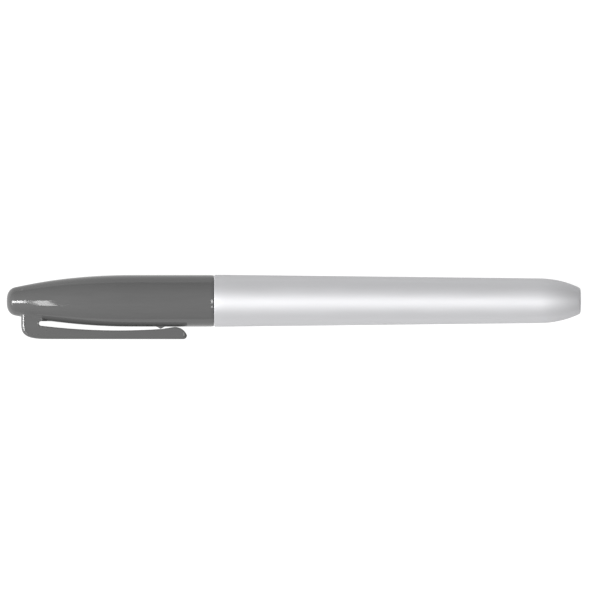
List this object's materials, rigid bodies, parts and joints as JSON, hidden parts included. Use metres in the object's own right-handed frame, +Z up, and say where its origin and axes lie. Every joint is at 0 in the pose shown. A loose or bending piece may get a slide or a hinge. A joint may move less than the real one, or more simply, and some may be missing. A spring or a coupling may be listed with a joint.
{
  "type": "felt tip marker",
  "caption": "Capped felt tip marker with a tapered barrel, a domed cap and a springy pocket clip. The cap pulls off and turns, and covers a fibre nib fed by an ink reservoir.",
  "frame": {"origin": "on the marker's axis, in the plane where the cap's rim stops against the barrel's shoulder", "axes": "+X along the axis towards the barrel's tail, so the cap is at -X; +Z up with the marker lying on its side; the pocket clip is at -Y"},
  "size_m": [0.137, 0.0154, 0.0124],
  "materials": {
    "barrel_plastic": "satin moulded silver grey",
    "cap_plastic": "glossy moulded dark grey",
    "holder_plastic": "satin moulded dark grey",
    "inner_cap_plastic": "natural soft plastic",
    "nib_felt": "ink soaked pressed fibre",
    "reservoir_fibre": "ink soaked fibre bundle",
    "film_plastic": "thin clear film"
  },
  "bodies": {
    "barrel": {"barrel": "barrel_plastic", "nib_holder": "holder_plastic", "nib": "nib_felt", "reservoir_core": "reservoir_fibre", "reservoir_film": "film_plastic"},
    "inner_cap": {"inner_cap": "inner_cap_plastic"},
    "cap": {"cap_shell": "cap_plastic"},
    "clip": {"clip_arm": "cap_plastic"}
  },
  "joints": [
    {"name": "cap_pull", "type": "slide", "parent": "barrel", "child": "inner_cap", "axis": [-1, 0, 0], "range_m": [0, 0.05]},
    {"name": "cap_turn", "type": "hinge", "parent": "inner_cap", "child": "cap", "pos_m": [-0.02, 0, 0], "axis": [1, 0, 0], "continuous": true},
    {"name": "clip_flex", "type": "hinge", "parent": "cap", "child": "clip", "pos_m": [-0.039, -0.0077, 0], "axis": [0, 0, -1], "range_deg": [0, 3], "stiffness_Nm_per_rad": 0.8}
  ]
}
